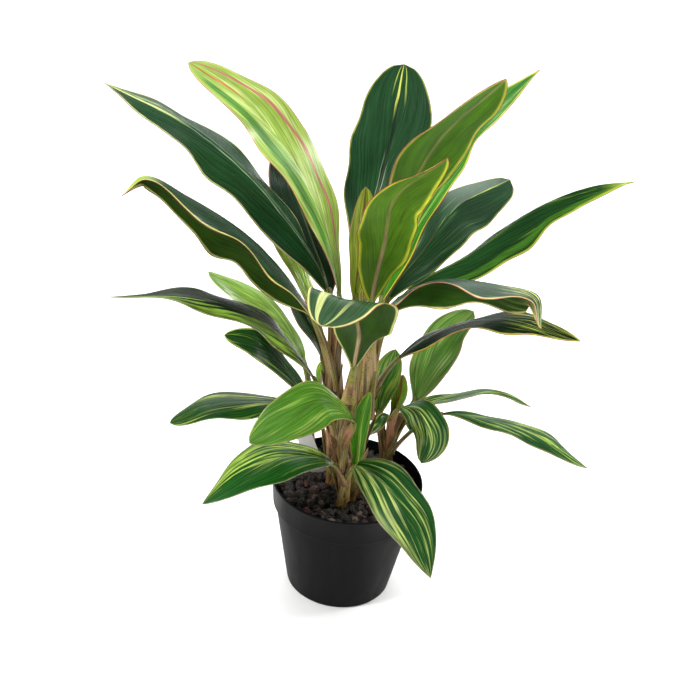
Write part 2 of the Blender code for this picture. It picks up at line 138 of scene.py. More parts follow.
# Stalks: a channelled section with ribs, round the frame's centre lines. A stalk is SHEATH_BREADTH
# times as broad as it is thick where it clasps the cane, and STALK_BREADTH times at its blade.
STALK_TIP_RADIUS = 2.3
STALK_RING_STEP = 4.0
FEWEST_RINGS = 8
STALK_SIDES = 20
STALK_CHANNEL = 0.42
STALK_CHANNEL_WIDTH = 0.62
STALK_CHANNEL_START = 1 / 3
STALK_RIB = 0.05
STALK_RIBS = 7
STALK_BREADTH = 1.2
SHEATH_BREADTH = 2.6
SHEATH_TAPER = 0.8

# Canes: a swelling at each leaf scar, which runs a little aslant, and shallow ridges that turn
CANE_SIDES = 28
CANE_RING_STEP = 1.5
SCAR_SPACING = 9.0
SCAR_SWELL = 0.07
SCAR_SLANT = 0.4
SCAR_SHARPNESS = 8
CANE_RIDGE = 0.03
CANE_RIDGES = 5
CANE_TWIST = 0.05
CANE_SEED = 5

# Clasping sheaths, the bases of fallen leaves. The first starts CLASP_START above the cane's foot,
# each of the others CLASP_STEP above the one before and half a turn on, give or take CLASP_TURN, and
# the last has CLASP_FIT of its rise under the cane's top. A sheath loses CLASP_SLOPE of its rise at
# its edges and CLASP_NARROWING of its wrap at its point, which leans out, and it has the colours of a
# stalk up to CLASP_DRYNESS of its length.
CLASP_START = 24.0
CLASP_RISE = 52.0
CLASP_STEP = 15.0
CLASP_SLOPE = 0.65
CLASP_WRAP = 130.0
CLASP_NARROWING = 0.6
CLASP_LEAN = 7.0
CLASP_FIT = 0.8
CLASP_TURN = 0.9
CLASP_DRYNESS = 0.75
CLASP_GAP = 0.7
CLASP_THICKNESS = 0.5
CLASP_ROWS = 16
CLASP_COLUMNS = 20

# Plant label, as in the frame, and the heights between which the dust on it thins out
LABEL_WIDTH = 15.0
LABEL_LENGTH = 82.0
LABEL_POINT = 18.0
LABEL_POINT_WIDTH = 2.0
LABEL_THICKNESS = 1.0
LABEL_EDGE = 0.25
LABEL_FOOT = (-20.0, 17.0)
LABEL_BOTTOM = 92.0
LABEL_LEAN = -22.0
LABEL_TURN = 12.0
DUST_FULL = 115.0
DUST_END = 135.0

# Real sizes of what the patterns draw, with a breadth and a length for the long ones. The leaves'
# veins, the pot's moulding grain and the paper's are finer on the real things, too fine for the
# render, and are drawn as coarse as they need to be to show. STALK_HALF_ROUND and STALK_RUN are a
# usual stalk's half girth and length. RELIEF is how high a pattern stands. EDGE_LINE, RIB_ABOVE and
# RIB_BELOW say how far a thin line keeps its full colour and where it ends.
STRIPE = (3.0, 160.0)
VEIN = (1.0, 240.0)
CLOUD = (15.0, 40.0)
STALK_HALF_ROUND = 12.0
STALK_RUN = 100.0
FIBRE = (1.0, 80.0)
PATCH = (4.0, 20.0)
RUST_SPECK = 1.6
GRIT = 1.4
PORE = 1.1
FLOW_MARK = 22.0
FLOW_STRETCH = 4.0
PLASTIC_GRAIN = 1.1
SMUDGE = 6.0
PAPER_GRAIN = 1.1
VEIN_RELIEF = 0.2
FIBRE_RELIEF = 0.5
PORE_RELIEF = 0.8
PLASTIC_RELIEF = 0.2
EDGE_LINE = (0.3, 0.75)
RIB_ABOVE = (0.5, 1.1)
RIB_BELOW = (1.0, 2.0)

# Studio: a sheet of paper, lamps with their breadth and their power in watts, and a glow behind the
# plant. Of the lamps, only the mirrored ones show in the wax.
PAPER_BREADTH = 16000.0
Lamp = namedtuple("Lamp", "place breadth power mirrored")
LAMPS = {
    "overhead": Lamp((0, 800, 2800), 3600, 96, False),
    "left_softbox": Lamp((-1500, -900, 1700), 700, 50, True),
    "right_softbox": Lamp((1500, 400, 1500), 500, 30, True),
}
LAMP_AIM = (0, 0, 300)
GLOW_TOWARDS = (-0.1, 0.84, 0.53)
GLOW_EDGE = 0.86
GLOW_CORE = 0.98
DIMMEST = 0.42
BRIGHTEST = 2.0

# Each cane's centre line, its radius at both ends and its stalks' radius, as in the frame
Cane = namedtuple("Cane", "route bottom_radius top_radius stalk_radius")
CANES = {
    "front": Cane(
        [(-3, -36, 88), (-3, -36, 118), (-6, -36, 150), (-9, -37, 200), (-6, -37, 232)],
        4.4, 3.8, 3.6),
    "back": Cane(
        [(-15, 4, 88), (-15, 4, 118), (-18, 4, 150), (-20, 3, 190), (-22, 2, 225), (-26, 2, 245)],
        6.6, 5.0, 4.4),
    "right": Cane(
        [(5, -20, 88), (5, -20, 118), (6, -20, 150), (9, -16, 190), (10, -10, 240)],
        5.2, 5.6, 4.2),
    "cluster": Cane(
        [(38, 41, 88), (38, 41, 118), (41, 39, 150), (46, 36, 180)],
        4.6, 3.6, 2.8),
    "side": Cane(
        [(-40, 49, 88), (-40, 49, 118), (-42, 50, 137), (-46, 52, 165)],
        3.4, 2.8, 2.6),
}

# Each leaf's cane, the height at which it leaves that, its midrib from its base to its tip, its
# width, roll, fold, wave and taper, as in the frame
BROAD = (0.75, 0.65)
SLENDER = (0.8, 0.95)
Leaf = namedtuple("Leaf", "number cane height route width roll fold wave taper", defaults=[BROAD])
LEAVES = [
    Leaf("01", "back", 215, [(-35, 15, 320), (-90, 50, 385), (-170, 90, 435), (-265, 115, 465)],
         66, (5, 0, 0), (-30, -10, 0), 3, SLENDER),
    Leaf("02", "back", 225, [(-25, 10, 320), (-55, 35, 400), (-110, 60, 465), (-180, 75, 505)],
         56, (0, -15, -15), (5, 15, 0), 2.5, (1.0, 0.65)),
    Leaf("03", "back", 205, [(-35, 30, 312), (-60, 75, 350), (-80, 120, 378), (-85, 155, 432)],
         58, (0, 0, 0), (15, 5, 0), 3),
    Leaf("04", "back", 200, [(-45, 40, 275), (-65, 60, 310), (-90, 85, 340), (-110, 110, 375)],
         24, (0, 10, 0), (20, 0, 0), 1),
    Leaf("05", "back", 226,
         [(-50, -10, 310), (-100, -25, 380), (-160, -50, 430), (-195, -65, 450), (-210, -75, 435)],
         60, (30, 40, 40), (-40, -40, -15), 4, (0.75, 1.1)),
    Leaf("06", "right", 205, [(-5, 25, 343), (0, 82, 385), (10, 115, 442), (15, 150, 500)],
         72, (0, 0, 0), (15, 0, 0), 3, (0.8, 0.5)),
    Leaf("07", "right", 215, [(-10, 0, 325), (-10, 10, 360), (-10, 15, 395), (-10, 20, 425)],
         28, (0, 0, 0), (20, 10, 0), 1),
    Leaf("08", "right", 232, [(5, -25, 335), (10, -55, 405), (15, -90, 465), (50, -125, 515)],
         50, (-5, -15, -10), (5, -40, 0), 3),
    Leaf("09", "right", 215, [(15, 10, 320), (40, 42, 395), (80, 90, 455), (140, 125, 515)],
         54, (0, -10, -10), (15, 15, 0), 3, SLENDER),
    Leaf("10", "right", 205, [(20, 20, 315), (50, 60, 350), (80, 100, 380), (130, 135, 400)],
         60, (5, 10, 10), (-15, -20, 0), 3, (0.8, 0.45)),
    Leaf("11", "right", 200, [(30, 10, 320), (95, 40, 362), (155, 65, 405), (200, 75, 425), (240, 85, 430)],
         52, (0, 10, 0), (-30, -40, -10), 3, (0.8, 1.1)),
    Leaf("12", "right", 222,
         [(15, -15, 315), (55, -35, 365), (115, -60, 380), (145, -75, 380), (150, -85, 355)],
         50, (-30, -50, -30), (-40, -40, -5), 5),
    Leaf("13", "right", 212, [(35, 5, 260), (85, 0, 305), (140, -15, 325), (195, -35, 320)],
         42, (0, -10, 40), (0, 0, -10), 3, SLENDER),
    Leaf("14", "cluster", 145, [(60, 50, 190), (70, 65, 225), (85, 85, 250), (110, 100, 270)],
         52, (0, 0, 0), (0, 5, -5), 3),
    Leaf("15", "cluster", 148, [(55, 40, 185), (95, 50, 195), (135, 60, 200), (180, 75, 180)],
         22, (-5, -15, 0), (10, 10, 0), 1.5, SLENDER),
    Leaf("16", "cluster", 121, [(85, 35, 185), (130, 10, 200), (180, -10, 200), (225, -35, 185)],
         34, (0, 0, -20), (0, -5, -10), 1.5, (1.3, 0.7)),
    Leaf("17", "cluster", 136, [(45, 25, 195), (60, 15, 200), (70, 5, 190), (75, 0, 175), (70, -10, 155)],
         42, (10, 45, 45), (-10, -40, 0), 2),
    Leaf("18", "cluster", 130, [(40, 50, 175), (45, 50, 195), (45, 55, 215)],
         16, (0, 0, 0), (30, 20, 0), 0.5),
    Leaf("19", "cluster", 118, [(25, 45, 175), (25, 50, 200), (30, 55, 220), (35, 60, 240)],
         30, (0, 0, 0), (25, 10, 0), 1.5),
    Leaf("20", "cluster", 138, [(35, 30, 180), (30, 20, 185), (25, 10, 180), (15, 0, 175)],
         12, (0, 0, 0), (20, 10, 0), 0.5),
    Leaf("21", "front", 118,
         [(5, -40, 165), (25, -60, 170), (50, -85, 155), (70, -100, 130), (85, -115, 100)],
         52, (10, 20, 0), (10, 5, 0), 2, SLENDER),
    Leaf("22", "front", 142, [(-15, -40, 165), (-60, -65, 185), (-95, -90, 180), (-130, -110, 155)],
         56, (0, -5, 0), (10, -5, -5), 1.5, SLENDER),
    Leaf("23", "side", 130,
         [(-50, 50, 160), (-70, 50, 170), (-105, 40, 175), (-145, 25, 175), (-180, 10, 160)],
         46, (-5, 0, -10), (0, 0, -10), 2.5),
    Leaf("24", "front", 188, [(0, -50, 220), (-30, -75, 255), (-60, -95, 245), (-90, -115, 230)],
         46, (-20, -28, -20), (5, -5, 0), 3),
    Leaf("25", "right", 117, [(7, -30, 155), (7, -33, 185), (7, -33, 215), (12, -33, 245)],
         20, (0, 0, 0), (10, 5, 0), 1),
    Leaf("26", "front", 219, [(-5, -35, 270), (-5, -85, 340), (-20, -125, 385), (-35, -155, 375)],
         68, (15, 0, 0), (30, 0, 0), 4, (0.8, 0.5)),
    Leaf("27", "back", 187, [(-35, 15, 245), (-45, 15, 270), (-60, 20, 290), (-75, 20, 315)],
         28, (0, -10, 0), (20, 10, 0), 1),
    Leaf("28", "back", 174, [(-40, -5, 235), (-90, -30, 305), (-155, -60, 340), (-220, -85, 345)],
         42, (-10, -10, 20), (-5, 0, -5), 3, SLENDER),
    Leaf("29", "side", 127, [(-55, 55, 220), (-80, 75, 250), (-120, 95, 270), (-160, 110, 280)],
         32, (0, -10, -30), (20, -20, -20), 2),
    Leaf("30", "side", 134, [(-50, 50, 180), (-75, 55, 210), (-105, 55, 235), (-135, 55, 240)],
         36, (-10, -10, -30), (0, 0, 0), 1.5),
    Leaf("31", "side", 140, [(-36, 48, 190), (-36, 48, 208), (-36, 52, 223)],
         18, (0, 0, 0), (20, 20, 0), 0.5),
    Leaf("32", "right", 225, [(5, -5, 330), (20, -25, 420), (45, -50, 500), (90, -75, 565)],
         62, (-15, -20, -20), (0, -15, 0), 3, (1.1, 0.7)),
]

# A leaf's colouring: its upper face, its stripes and their share of the blade, where along it they
# lie and on which half, its underside, darkened as painted shade on some leaves and brightened as
# painted light on others, its pale margin and how broad a band that is, the line on its edge, single
# streak lines and painted glints with the centre and half width across, the start and end along and
# the colour of each, how strongly its wax reflects, and its midrib from below
Look = namedtuple(
    "Look", "body light share start end half under margin band edge streaks gloss rib",
    defaults=["d2dd66", 0.0, 0.0, 1.0, 0, "44701f", "c3cb62", 1.2, "8a4a38", (), 0.28, "a58c66"])
LOOKS = {
    "01": Look("143a1c", "93ae5e", 0.06, 0.7, margin="c6cc82", edge="8c6a4a",
        streaks=[(0.06, 0.06, 0.74, 1.0, "d0d678"), (-0.35, 0.05, 0.84, 1.0, "a4b860"),
        # The two pale grey-green lines by the midrib, 7c977a and 6c8870, are painted glints
        (0.08, 0.015, 0.1, 0.7, "7c977a"), (-0.06, 0.012, 0.2, 0.8, "6c8870")]),
    "02": Look("88a440", "acbd70", 0.5, edge="a8604c", margin="aabf5c", band=1.4, under="9dbd3a",
        streaks=[(0.5, 0.2, 0.14, 0.74, "4a7e28"), (0.2, 0.08, 0.0, 0.4, "6f9f38"),
        (-0.6, 0.06, 0.15, 0.95, "a8685a"), (-0.1, 0.04, 0.8, 1.0, "bd5c48")]),
    "03": Look("0c2610", margin="a8845c", band=0.9, edge="964a3a", gloss=0.2),
    "04": Look("6f9128", "a6bd44", 0.5, margin="a9ba50", under="7d9a34", band=1.1),
    "05": Look("15331a", margin="cfd278", band=1.5, edge="702f1c", under="2a4806",
        streaks=[(0.0, 1.2, 0.88, 1.0, "9cb840")]),
    "06": Look("1e4424", margin="a4b850", edge="a0503e", gloss=0.2,
        streaks=[(0.03, 0.04, 0.78, 1.0, "d0d666"), (-0.2, 0.03, 0.86, 1.0, "b4c458"),
        (0.24, 0.025, 0.9, 1.0, "b4c458"), (0.0, 0.035, 0.0, 0.6, "16261a"),
        # The two pale lines 8fa294 by the midrib are painted glints
        (0.07, 0.01, 0.0, 0.35, "8fa294"), (-0.06, 0.008, 0.0, 0.3, "8fa294")]),
    "07": Look("8a9c28", "aab83e", 0.4, edge="8a6a3c", band=0.8,
        streaks=[(0.0, 0.14, 0.0, 0.9, "7d5f28")]),
    # Its underside colour is brightened: painted light, for the light shining through the leaf
    "08": Look("2c5a24", under="557f1a", margin="ccd43c", band=2.6, edge="8c432b"),
    "09": Look("2f7414", "93b450", 0.12, margin="ccd23c", band=1.7, edge="a84e36", gloss=0.6),
    "10": Look("184620", "6f9a5c", 0.1, 0.1, 0.6, margin="b4c348", edge="984736",
        streaks=[(0.03, 0.03, 0.74, 1.0, "b4c250"), (0.0, 0.03, 0.0, 0.6, "142a16")], gloss=0.5),
    "11": Look("0f3c0e", "96b040", 0.1, 0.5, margin="b0bf38", band=1.8, edge="7d3a2c",
        streaks=[(0.0, 1.2, 0.92, 1.0, "8fb03c"), (-0.74, 0.12, 0.05, 0.9, "3c6f18")]),
    # Its underside colour is darkened: painted shade under the twisted blade
    "12": Look("22402a", "bcc86c", 0.55, 0.74, under="284a08", margin="cfcc80", band=1.5,
        edge="b86c5c"),
    "13": Look("0a1f0b", "b0c44c", 0.38, 0.7, margin="b4c044", edge="a44f3a", under="5f7c22",
        gloss=0.1),
    "14": Look("56862c", "98b05c", 0.4, margin="c8b48c", edge="b0705c", under="84b548"),
    "15": Look("2c5c1c", "9cb84c", 0.25, margin="98aa4c", band=0.9),
    "16": Look("1a4a1c", "a4bc54", 0.3, 0.2, margin="98a850", band=0.9, edge="7d4f40", gloss=0.2),
    "17": Look("1a4e1a", "b0c668", 0.34, band=0.8),
    "18": Look("6a9a16", "94b02c", 0.3, band=0.6, rib="8a7a30",
        streaks=[(0.1, 0.2, 0.1, 0.8, "946a24")]),
    "19": Look("3c7a1c", "aac440", 0.5, band=0.8, edge="a46c50"),
    "20": Look("1f4a12", "b0be70", 0.3, 0.6, band=0.7),
    "21": Look("124614", "acbd66", 0.42, 0.0, 0.92, -0.5, margin="a6ac7a", band=0.7, edge="7a7050"),
    "22": Look("124c0e", "a2bd4c", 0.32, 0.0, 0.86, -1, margin="98a66c", band=0.7, edge="7c7c58",
        gloss=0.2),
    "23": Look("123e10", "9cae4c", 0.26, margin="94a668", band=0.7, edge="78805c", gloss=0.2),
    "24": Look("487a1e", "88a448", 0.36, 0.0, 0.9, margin="b4c85c", band=0.9, edge="7d5f40"),
    "25": Look("387010", "709a2c", 0.2, margin="a6b844", band=1.0, under="3f7e12", rib="8cb03a",
        streaks=[(0.05, 0.2, 0.0, 1.0, "94bf3c")]),
    # Its underside colour is darkened: painted shade inside the curled blade
    "26": Look("2e4c2c", under="264406", margin="ccd080", band=2.0, edge="96523a",
        streaks=[(-0.5, 0.12, 0.72, 0.95, "c4cc80"), (0.3, 0.06, 0.84, 1.0, "a4b46c")]),
    "27": Look("153a0c", margin="b4b848", edge="8c4328"),
    "28": Look("0c1c0e", "7ea238", 0.32, half=1, margin="a9b864", band=0.9, edge="7a6c4c",
        gloss=0.1),
    "29": Look("6e9236", "92ae54", 0.45, margin="9cb85c", band=0.9, edge="6c8a4c"),
    "30": Look("12380f", "84a83c", 0.12, margin="a4b848", band=1.3, edge="6c4030", gloss=0.18),
    "31": Look("68981a", "8fb434", 0.4, band=0.7),
    # Its underside colour is brightened: painted light, for the light shining through the leaf
    "32": Look("36493a", under="4c7a12", margin="c8c848", band=2.4, edge="a45e50", rib="ac8a68"),
}


# Shapes shared with the frame

def eased(knots, values, s):
    """A smooth curve through the values at the knots."""
    knots = np.array(knots, float)
    values = np.array(values, float)
    rates = np.diff(values) / np.diff(knots)
    slopes = np.concatenate([rates[:1], (rates[1:] + rates[:-1]) / 2, rates[-1:]])
    i = np.clip(np.searchsorted(knots, s, side="right") - 1, 0, len(knots) - 2)
    run = knots[i + 1] - knots[i]
    x = (s - knots[i]) / run
    start = values[i] * (1 + 2 * x) * (1 - x) ** 2 + slopes[i] * run * x * (1 - x) ** 2
    end = values[i + 1] * x * x * (3 - 2 * x) - slopes[i + 1] * run * x * x * (1 - x)
    return start + end


def cane_point(cane, height):
    """The point on a cane's centre line at a height."""
    route = np.array(CANES[cane].route, float)
    x = eased(route[:, 2], route[:, 0], height)
    y = eased(route[:, 2], route[:, 1], height)
    return np.array([x, y, height])


def spine_of(leaf):
    """A leaf's distances, points, left-hand sides, upper normals and stalk length, from its foot."""
    sheath = cane_point(leaf.cane, leaf.height - SHEATH_LENGTH)
    foot = cane_point(leaf.cane, leaf.height)
    route = np.array([sheath, foot, *leaf.route], float)
    knots = np.concatenate([[0], np.cumsum(np.linalg.norm(np.diff(route, axis=0), axis=1))])
    places = np.linspace(knots[1], knots[-1], int((knots[-1] - knots[1]) / SPINE_STEP) + 1)
    points = np.stack([eased(knots, axis, places) for axis in route.T], 1)
    lengths = np.linalg.norm(np.diff(points, axis=0), axis=1)
    s = np.concatenate([[0], np.cumsum(lengths)])
    stalk = np.interp(knots[2], places, s)
    along = np.gradient(points, places, axis=0)
    along /= np.linalg.norm(along, axis=1)[:, None]
    reach = route[-1] - foot
    level = np.array([-reach[1], reach[0], 0])
    side = level - along * (along @ level)[:, None]
    side /= np.linalg.norm(side, axis=1)[:, None]
    normal = np.cross(along, side)
    turns = np.radians(eased([0, stalk, (stalk + s[-1]) / 2, s[-1]], [0, *leaf.roll], s))
    cosine = np.cos(turns)[:, None]
    sine = np.sin(turns)[:, None]
    return s, points, side * cosine + normal * sine, normal * cosine - side * sine, stalk


def read_at(places, s, rows):
    """Vectors read at distances along a spine."""
    return np.stack([np.interp(places, s, column) for column in rows.T], 1)


def half_width(leaf, t):
    """Half the blade's width at t, from 0 at its base to 1 at its tip."""
    base, tip = leaf.taper
    widest = base / (base + tip)
    share = (t / widest) ** base * ((1 - t) / (1 - widest)) ** tip
    return leaf.width / 2 * share + BUTT_HALF_WIDTH * (1 - t) ** BUTT_FADE + TIP_HALF_WIDTH


# Modelling helpers

def deselect_all():
    bpy.ops.object.select_all(action="DESELECT")


def select(obj):
    """Makes a piece the active one, and the only one that is selected."""
    deselect_all()
    obj.select_set(True)
    bpy.context.view_layer.objects.active = obj


def named(name):
    """The object that was just added, under its own name."""
    obj = bpy.context.object
    obj.name = name
    obj.data.name = name
    return obj


def points_of(obj):
    """A mesh's points in millimetres."""
    flat = np.empty(len(obj.data.vertices) * 3)
    obj.data.vertices.foreach_get("co", flat)
    return flat.reshape(-1, 3) / MM


def move_points(obj, points):
    obj.data.vertices.foreach_set("co", (np.asarray(points, float) * MM).ravel())
    obj.data.update()


def keep_values(obj, values):
    """Stores numbers on a mesh's points, for its materials to read."""
    count = len(obj.data.vertices)
    for name, numbers in values.items():
        attribute = obj.data.attributes.new(name, "FLOAT", "POINT")
        attribute.data.foreach_set("value", np.broadcast_to(np.asarray(numbers, float), count).copy())


def apply_modifiers(obj):
    select(obj)
    for modifier in list(obj.modifiers):
        bpy.ops.object.modifier_apply(modifier=modifier.name)


def shade(obj, angle):
    """Smooth shading, with edges sharper than the angle left hard."""
    select(obj)
    bpy.ops.object.shade_smooth_by_angle(angle=math.radians(angle))


def new_grid(name, rows, columns):
    """A flat grid to be shaped, with its points' places along it, 0 to 1, and across it, -1 to 1."""
    deselect_all()
    bpy.ops.mesh.primitive_grid_add(x_subdivisions=rows, y_subdivisions=columns, size=2 * MM)
    obj = named(name)
    grid = points_of(obj)
    return obj, np.clip((grid[:, 0] + 1) / 2, 0, 1), np.clip(grid[:, 1], -1, 1)


def thicken(obj, thickness, offset):
    """Gives a sheet its thickness, to both sides alike or, with an offset of 1, to its outer side."""
    wall = obj.modifiers.new("Thickness", "SOLIDIFY")
    wall.thickness = thickness * MM
    wall.offset = offset
    return wall


def joined(name, objects):
    deselect_all()
    for obj in objects:
        obj.select_set(True)
    bpy.context.view_layer.objects.active = objects[0]
    bpy.ops.object.join()
    return named(name)


def dress(obj, materials, node):
    """Gives a piece its materials, attaches it to the root, and hides the part of the frame that it stands
    for.
    """
    obj.data.materials.clear()
    for material in materials:
        obj.data.materials.append(material)
    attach(obj, "root")
    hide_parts(node)


# Materials

TIMES = {"operation": "MULTIPLY"}
TIMES_PLUS = {"operation": "MULTIPLY_ADD"}


def linear(colour):
    """An sRGB colour given as hex digits, as linear red, green, blue and alpha."""
    parts = [int(colour[i:i + 2], 16) / 255 for i in (0, 2, 4)]
    return (*[c / 12.92 if c <= 0.04045 else ((c + 0.055) / 1.055) ** 2.4 for c in parts], 1)


def scale_of(size):
    """The scale of a pattern whose grains are this many millimetres across."""
    return 1 / (size * MM)


def add_node(tree, kind, inputs=None, settings=None):
    """A node with its settings, and its inputs set to values or linked to other nodes' outputs.

    An input given as a dictionary comes from a smooth Map Range node with these inputs: 0 is the
    value, 1 and 2 are its limits, and 3 and 4 what the limits give, else 0 and 1.
    """
    node = tree.nodes.new("ShaderNode" + kind)
    for name, value in (settings or {}).items():
        setattr(node, name, value)
    for socket, value in (inputs or {}).items():
        if isinstance(value, dict):
            value = add_node(tree, "MapRange", value, {"interpolation_type": "SMOOTHSTEP"})
        if isinstance(value, bpy.types.Node):
            value = value.outputs[0]
        if isinstance(value, bpy.types.NodeSocket):
            tree.links.new(value, node.inputs[socket])
        else:
            node.inputs[socket].default_value = value
    return node


def new_material(name, *stored):
    """An empty material, its node tree, and the numbers of these names that its piece's points keep."""
    material = bpy.data.materials.new(name)
    material.use_nodes = True
    tree = material.node_tree
    tree.nodes.clear()
    nodes = [add_node(tree, "Attribute", {}, {"attribute_name": value}) for value in stored]
    return material, tree, [node.outputs["Fac"] for node in nodes]


def finish_shader(tree, base, layers, inputs, bump=None, lightness=None):
    """The shader and its output, coloured by a base under layers of paint.

    A layer is a mask and the colour that it lays over, a bump is a pattern, its strength and its
    relief, and lightness is what the brightness of the result is multiplied by.
    """
    colour = linear(base)
    for mask, over in layers:
        paint = {0: mask, 6: colour, 7: linear(over)}
        colour = add_node(tree, "Mix", paint, {"data_type": "RGBA"}).outputs[2]
    if lightness:
        colour = add_node(tree, "HueSaturation", {"Value": lightness, "Color": colour})
    if bump:
        height, strength, relief = bump
        raised = {"Height": height, "Strength": strength, "Distance": relief * MM}
        inputs["Normal"] = add_node(tree, "Bump", raised)
    shader = add_node(tree, "BsdfPrincipled", {"Base Color": colour, **inputs})
    add_node(tree, "OutputMaterial", {"Surface": shader})


def stripe_mask(tree, look, upper, values, noises):
    """Where a leaf's pale stripes lie: frayed bands along the veins, fading towards its margins."""
    along, across = values
    broad, fine, cloud = noises
    threshold = 0.8 - 0.34 * look.share
    leaning = add_node(tree, "Math", {0: across, 1: 0.2 * look.half, 2: broad}, TIMES_PLUS)
    frayed = add_node(tree, "Math", {0: fine, 1: 0.36, 2: leaning}, TIMES_PLUS)
    middle = add_node(tree, "Math", {0: across}, {"operation": "ABSOLUTE"})
    mask = {0: frayed, 1: threshold, 2: threshold + 0.17}
    for share in (
        {0: along, 1: look.start - 0.12, 2: look.start + 0.12},
        {0: along, 1: look.end - 0.02, 2: look.end + 0.22, 3: 1.0, 4: 0.0},
        {0: middle, 1: 0.72, 2: 0.95, 3: 1.0, 4: 0.25},
        {0: cloud, 1: 0.35, 2: 0.6, 3: 0.6 if upper else 0.3, 4: 1.0 if upper else 0.5},
    ):
        mask = add_node(tree, "Math", {0: mask, 1: share}, TIMES)
    return mask


def streak_mask(tree, streak, along, across, cloud):
    """Where a single streak lies: a wandering line along the blade."""
    centre, reach, start, end, _ = streak
    wander = add_node(tree, "Math", {0: cloud, 1: 0.12, 2: -centre - 0.06}, TIMES_PLUS)
    offset = add_node(tree, "Math", {0: across, 1: wander})
    distance = add_node(tree, "Math", {0: offset}, {"operation": "ABSOLUTE"})
    mask = {0: distance, 1: reach * 0.6, 2: reach * 1.2, 3: 1.0, 4: 0.0}
    for share in (
        {0: along, 1: start - 0.07, 2: start + 0.07},
        {0: along, 1: end + 0.13, 2: end + 0.27, 3: 1.0, 4: 0.0},
    ):
        mask = add_node(tree, "Math", {0: mask, 1: share}, TIMES)
    return mask


def leaf_material(number, look, seed, upper):
    """Waxy leaf skin: cuticle over green cells, with pale stripes that follow the veins.

    The wax gives broad soft glare, the veins break it into fine lines, and the margin is a pale
    band with a thin reddish line on its very edge. A few leaves have pale lines by the midrib that
    are painted glints, some undersides are darkened as painted shade, and others are brightened as
    painted light.
    """
    material, tree, (along, across, vein, run, rim, mid) = new_material(
        f"waxy_cuticle_leaf_{number}_{'upper' if upper else 'under'}",
        "along", "across", "vein", "run", "rim", "mid")
    course = add_node(tree, "CombineXYZ", {0: vein, 1: run, 2: across})

    # The stripes, the veins and paler clouds, with how much each differs between the blade's halves
    # and what makes it differ from leaf to leaf
    noises = []
    for (breadth, length), sides, shift in ((STRIPE, 1.7, seed), (VEIN, 4.0, seed + 40), (CLOUD, 1.5, seed)):
        moved = {"Vector": course, "Scale": (1 / breadth, 1 / length, sides), "Location": (0, 0, shift)}
        place = add_node(tree, "Mapping", moved)
        links = {"Vector": place, "Scale": 1.0, "Detail": 2.0, "Roughness": 0.55}
        noises.append(add_node(tree, "TexNoise", links).outputs["Fac"])
    broad, fine, cloud = noises

    layers = []
    if look.share:
        layers.append((stripe_mask(tree, look, upper, (along, across), noises), look.light))
    # Real streak lines and, on a few leaves, painted glints by the midrib
    for streak in look.streaks if upper else ():
        layers.append((streak_mask(tree, streak, along, across, cloud), streak[-1]))
    mottled = add_node(tree, "Math", {0: fine, 1: 2.4, 2: -1.2}, TIMES_PLUS)
    reach = add_node(tree, "Math", {0: rim, 1: mottled})
    full, end = RIB_ABOVE if upper else RIB_BELOW
    fade = {0: along, 1: 0.1, 2: 0.75, 3: 0.9 if upper else 1.0, 4: 0.0 if upper else 0.35}
    rib = {0: mid, 1: full, 2: end, 3: 1.0, 4: 0.0}
    midrib = add_node(tree, "Math", {0: fade, 1: rib}, TIMES)
    layers += [
        ({0: reach, 1: look.band * 0.6, 2: look.band * 1.5, 3: 1.0, 4: 0.0}, look.margin),
        ({0: rim, 1: EDGE_LINE[0], 2: EDGE_LINE[1], 3: 1.0, 4: 0.0}, look.edge),
        (midrib, "5f6f3c" if upper else look.rib),
    ]

    veins = {0: fine, 1: 0.3, 2: 0.7, 3: 0.66, 4: 1.06}
    cells = {0: cloud, 1: 0.3, 2: 0.7, 3: 0.78, 4: 1.1}
    lightness = add_node(tree, "Math", {0: veins, 1: cells}, TIMES)
    finish_shader(tree, look.body if upper else look.under, layers, {
        "Roughness": {0: fine, 1: 0.3, 2: 0.7, 3: 0.2 if upper else 0.42, 4: 0.34 if upper else 0.58},
        "Specular IOR Level": look.gloss if upper else 0.08,
    }, (fine, 0.7, VEIN_RELIEF), lightness)
    return material


def stalk_material():
    """Leaf stalk and cane skin: dry sheath tissue, dull tan with long fibres and rust specks.

    It is olive near the blades, darker at a stalk's foot, and browner on the bare cane.
    """
    material, tree, (along, around, bark, tone) = new_material(
        "dry_sheath_tissue", "along", "around", "bark", "tone")
    place = add_node(tree, "TexCoord").outputs["Object"]
    course = add_node(tree, "CombineXYZ", {0: around, 1: along, 2: tone})

    # Fibres and patches, with how much they differ from stalk to stalk
    noises = []
    for (breadth, length), spread in ((FIBRE, 13.0), (PATCH, 17.0)):
        scale = (STALK_HALF_ROUND / breadth, STALK_RUN / length, spread)
        links = {"Scale": 1.0, "Detail": 3.0}
        links["Vector"] = add_node(tree, "Mapping", {"Vector": course, "Scale": scale})
        noises.append(add_node(tree, "TexNoise", links))
    fibres, patches = noises
    rust = {"Vector": place, "Scale": scale_of(RUST_SPECK), "Detail": 2.0}
    specks = add_node(tree, "TexNoise", rust)
    lightness = {0: fibres, 1: 0.4, 2: 0.6, 3: 0.42, 4: 1.2}
    finish_shader(tree, "927a4e", [
        ({0: patches, 1: 0.45, 2: 0.62}, "7d7a34"),
        ({0: tone, 1: 0.6, 2: 1.0, 4: 0.65}, "8f5444"),
        ({0: along, 1: 0.55, 2: 1.0, 4: 0.75}, "6f8430"),
        ({0: along, 1: 0.0, 2: 0.25, 3: 0.6, 4: 0.0}, "5f4320"),
        (bark, "6c5230"),
        ({0: specks, 1: 0.6, 2: 0.68, 4: 0.8}, "47260f"),
    ], {"Roughness": 0.5, "Specular IOR Level": 0.3}, (fibres, 0.6, FIBRE_RELIEF), lightness)
    return material


